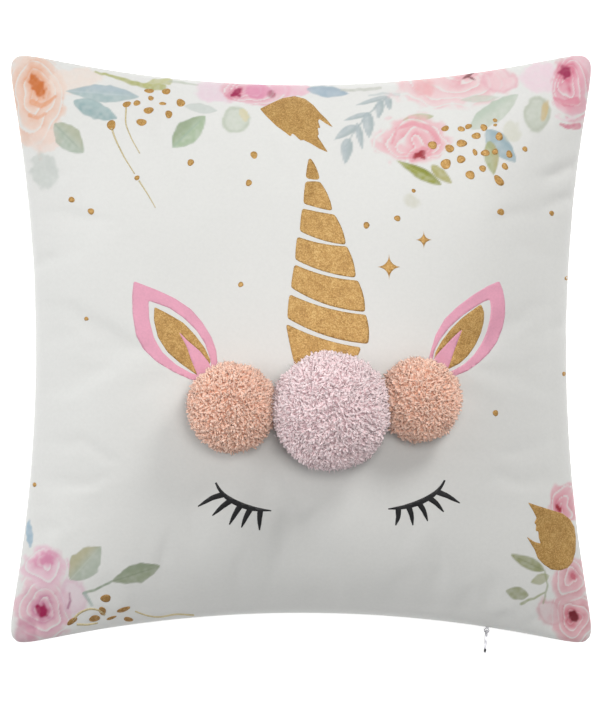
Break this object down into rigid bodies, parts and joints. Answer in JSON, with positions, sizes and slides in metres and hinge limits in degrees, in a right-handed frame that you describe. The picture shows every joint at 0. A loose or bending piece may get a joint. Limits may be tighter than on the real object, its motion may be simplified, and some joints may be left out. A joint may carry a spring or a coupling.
{
  "type": "throw cushion",
  "caption": "Square throw cushion with a printed animal face, yarn pompoms sewn on, and a concealed zip along its bottom edge.",
  "frame": {"origin": "middle of the flat patch on the back that the cushion rests on", "axes": "+Z out of the printed face, +Y towards the cushion's top edge, +X to the right of the print"},
  "size_m": [0.4402, 0.4536, 0.1972],
  "materials": {
    "front_fabric": "matte",
    "back_fabric": "matte",
    "seam_thread": "matte",
    "zip_tape": "matte",
    "zip_coil": "satin",
    "zip_metal": "satin",
    "pad_case": "matte",
    "pad_fibre": "matte",
    "peach_yarn": "matte",
    "lilac_yarn": "matte",
    "tie_thread": "matte"
  },
  "bodies": {
    "cushion": {"cover_front_panel": "front_fabric", "cover_back_panel": "back_fabric", "cover_seam_thread": "seam_thread", "zip_tape_front": "zip_tape", "zip_tape_back": "zip_tape", "zip_coil_front": "zip_coil", "zip_coil_back": "zip_coil", "zip_top_stop_front": "zip_metal", "zip_top_stop_back": "zip_metal", "zip_bottom_stop": "zip_metal", "insert_case_front": "pad_case", "insert_case_back": "pad_case", "insert_fibre_filling": "pad_fibre"},
    "zip_slider": {"zip_slider_body": "zip_metal"},
    "zip_pull": {"zip_pull_tab": "zip_metal"},
    "left_pompom": {"pompom_left_pile": "peach_yarn", "pompom_left_tie": "tie_thread"},
    "middle_pompom": {"pompom_middle_pile": "lilac_yarn", "pompom_middle_tie": "tie_thread"},
    "right_pompom": {"pompom_right_pile": "peach_yarn", "pompom_right_tie": "tie_thread"}
  },
  "joints": [
    {"name": "slider_travel", "type": "hinge", "parent": "cushion", "child": "zip_slider", "pos_m": [0, -1.1347, 0.0618], "axis": [0, 0, 1], "range_deg": [0, 17.17]},
    {"name": "pull_swing", "type": "hinge", "parent": "zip_slider", "child": "zip_pull", "pos_m": [0.14105, -0.2139, 0.0618], "axis": [0, 0, 1], "range_deg": [-83, 76]},
    {"name": "left_pompom_twist", "type": "hinge", "parent": "cushion", "child": "left_pompom", "pos_m": [-0.049, -0.0415, 0.12996], "axis": [-0.089, -0.072, 0.9934], "range_deg": [-30, 30]},
    {"name": "middle_pompom_twist", "type": "hinge", "parent": "cushion", "child": "middle_pompom", "pos_m": [0.021, -0.0435, 0.13156], "axis": [0.0361, -0.0784, 0.9963], "range_deg": [-30, 30]},
    {"name": "right_pompom_twist", "type": "hinge", "parent": "cushion", "child": "right_pompom", "pos_m": [0.084, -0.0365, 0.1258], "axis": [0.1676, -0.0567, 0.9842], "range_deg": [-30, 30]}
  ]
}
